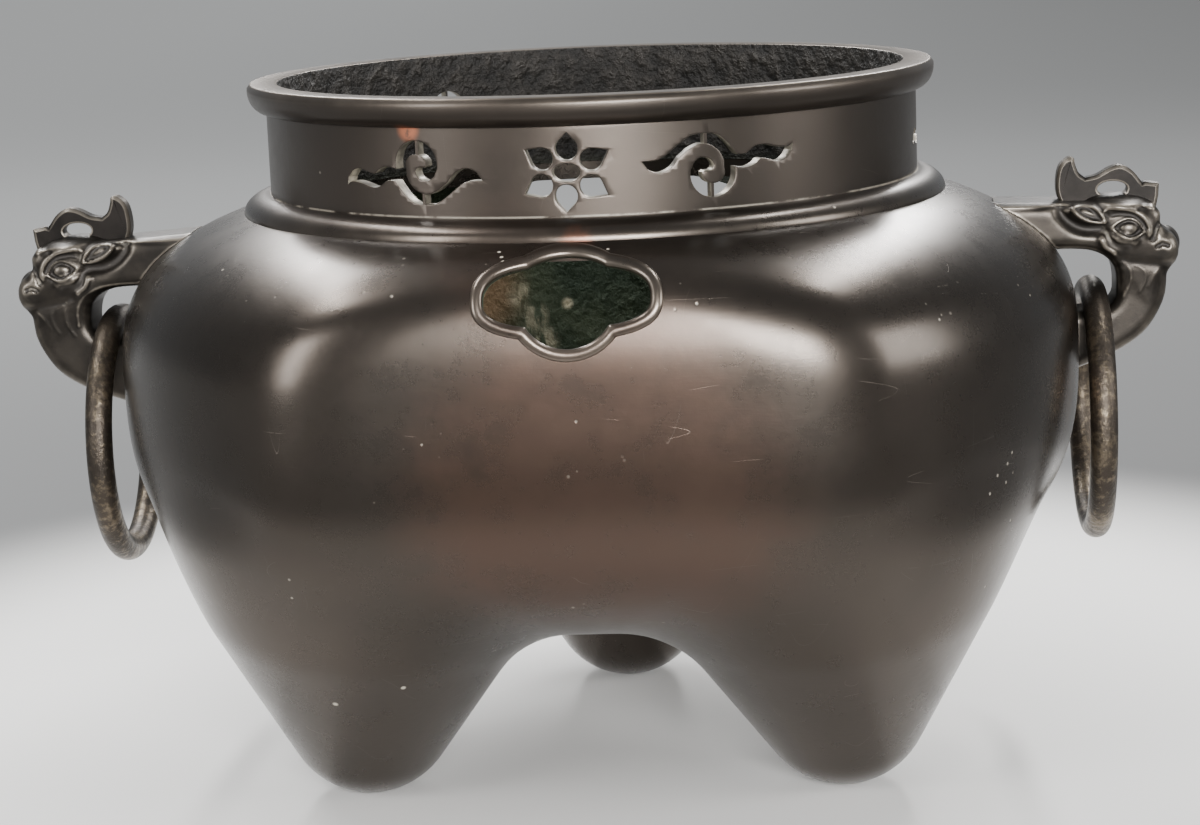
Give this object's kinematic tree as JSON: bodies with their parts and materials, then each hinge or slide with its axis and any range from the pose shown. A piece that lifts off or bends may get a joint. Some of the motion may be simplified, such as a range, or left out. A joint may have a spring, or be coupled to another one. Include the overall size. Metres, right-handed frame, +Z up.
{
  "type": "three-legged brazier with ring handles",
  "caption": "Cast bronze brazier on pouch legs, with an openwork neck, a lobed and an oval draught opening and loose rings in beast-head brackets.",
  "frame": {"origin": "under the middle of the whole object's box, on the level of the feet", "axes": "+Z up along the vessel's axis, +X to the right-hand ring, -Y to the front with the lobed opening"},
  "size_m": [0.5222, 0.398, 0.3118],
  "materials": {
    "vessel_bronze": "dark brown polished patina, duller inside",
    "head_bronze": "dark brown patina, rubbed on the high edges",
    "ring_bronze": "brown patina, rubbed towards yellow"
  },
  "bodies": {
    "vessel": {"vessel": "vessel_bronze", "left_beast_head": "head_bronze", "right_beast_head": "head_bronze"},
    "left_ring": {"left_ring": "ring_bronze"},
    "right_ring": {"right_ring": "ring_bronze"}
  },
  "joints": [
    {"name": "left_ring_swing", "type": "hinge", "parent": "vessel", "child": "left_ring", "pos_m": [-0.21697, -0.01399, 0.206], "axis": [0, 1, 0], "range_deg": [-5, 100]},
    {"name": "right_ring_swing", "type": "hinge", "parent": "vessel", "child": "right_ring", "pos_m": [0.22203, -0.01399, 0.206], "axis": [0, -1, 0], "range_deg": [-5, 100]}
  ]
}
